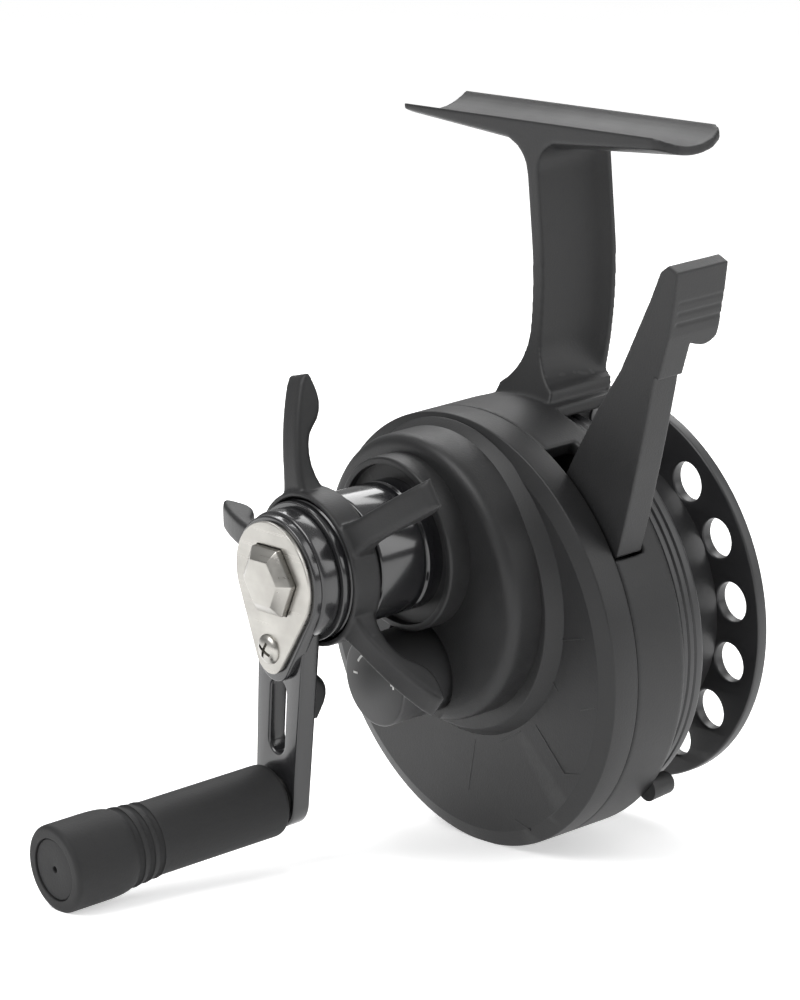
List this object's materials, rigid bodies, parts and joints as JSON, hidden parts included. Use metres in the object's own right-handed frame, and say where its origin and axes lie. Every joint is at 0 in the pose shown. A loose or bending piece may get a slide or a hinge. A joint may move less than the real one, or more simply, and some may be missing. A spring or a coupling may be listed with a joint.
{
  "type": "inline ice fishing reel",
  "caption": "Black inline ice fishing reel with a rod foot, perforated spool, trigger lever, star drag, power dial and crank handle.",
  "frame": {"origin": "middle of the lowest line of the saddle in the foot, where the rod lies", "axes": "+X along the rod towards its tip, +Y from the handle side towards the open side of the spool, +Z out of the saddle towards the rod"},
  "size_m": [0.0806, 0.1092, 0.1095],
  "materials": {
    "moulded_black": "fine matte grain",
    "spool_black": "satin black anodised",
    "gloss_black": "gloss",
    "anodised_black": "black anodised",
    "steel": "brushed",
    "polished_steel": "polished, fine wear",
    "brass": "machined",
    "rubber": "matte",
    "grip_rubber": "soft matte",
    "friction_lining": "woven lining"
  },
  "bodies": {
    "body": {"frame": "moulded_black", "side_cover": "moulded_black", "cover_screws": "steel", "bearing_sleeve": "gloss_black", "drive_bearing": "steel", "oneway_clutch": "steel", "drive_bush": "brass", "pinion_bearing": "steel", "shaft_bearing": "steel", "tension_plate": "steel", "dial_oring": "rubber", "yoke_posts": "steel", "yoke_springs": "steel", "line_keeper": "moulded_black", "trigger_pin": "steel", "trigger_spring": "steel"},
    "dial": {"power_dial": "moulded_black"},
    "trigger": {"trigger_lever": "moulded_black"},
    "yoke": {"clutch_yoke": "steel"},
    "pinion": {"pinion_gear": "brass"},
    "spool": {"spool": "spool_black", "spool_shaft": "steel", "cross_pin": "steel", "spool_nut": "anodised_black"},
    "handle": {"drive_shaft": "steel", "drive_gear": "brass", "friction_washers": "friction_lining", "keyed_washers": "steel", "clutch_tube": "steel", "spring_washers": "steel", "handle_spacer": "anodised_black", "handle_arm": "anodised_black", "handle_nut": "polished_steel", "nut_retainer": "polished_steel", "retainer_screw": "polished_steel", "knob_spindle": "polished_steel", "knob_screw": "steel"},
    "star": {"star_drag": "moulded_black"},
    "knob": {"knob_grip": "grip_rubber", "knob_bushes": "brass", "knob_cap": "moulded_black"}
  },
  "joints": [
    {"name": "handle_turn", "type": "hinge", "parent": "body", "child": "handle", "pos_m": [0, -0.0205, -0.057], "axis": [0, 1, 0], "continuous": true},
    {"name": "spool_spin", "type": "hinge", "parent": "body", "child": "spool", "pos_m": [0, -0.0205, -0.0735], "axis": [0, 1, 0], "continuous": true},
    {"name": "trigger_pull", "type": "hinge", "parent": "body", "child": "trigger", "pos_m": [0.02643, -0.0205, -0.06282], "axis": [0, -1, 0], "range_deg": [0, 12], "stiffness_Nm_per_rad": 0.06, "springref_deg": -20.05},
    {"name": "yoke_slide", "type": "slide", "parent": "body", "child": "yoke", "axis": [0, -1, 0], "range_m": [0, 0.0021], "deforming": ["yoke_springs"]},
    {"name": "pinion_spin", "type": "hinge", "parent": "yoke", "child": "pinion", "pos_m": [0, -0.0205, -0.0735], "axis": [0, 1, 0], "continuous": true},
    {"name": "dial_turn", "type": "hinge", "parent": "body", "child": "dial", "pos_m": [-0.001, -0.0205, -0.0775], "axis": [0, 1, 0], "range_deg": [0, 270]},
    {"name": "star_turn", "type": "hinge", "parent": "handle", "child": "star", "pos_m": [0, -0.0205, -0.057], "axis": [0, 1, 0], "range_deg": [-360, 0]},
    {"name": "knob_spin", "type": "hinge", "parent": "handle", "child": "knob", "pos_m": [-0.0067, -0.0205, -0.09278], "axis": [0, 1, 0], "continuous": true}
  ],
  "couplings": [
    {"joint": "spool_spin", "follows": "handle_turn", "ratio": -2.6667},
    {"joint": "pinion_spin", "follows": "handle_turn", "ratio": -2.6667},
    {"joint": "yoke_slide", "follows": "trigger_pull", "m_per_rad": 0.009549}
  ]
}
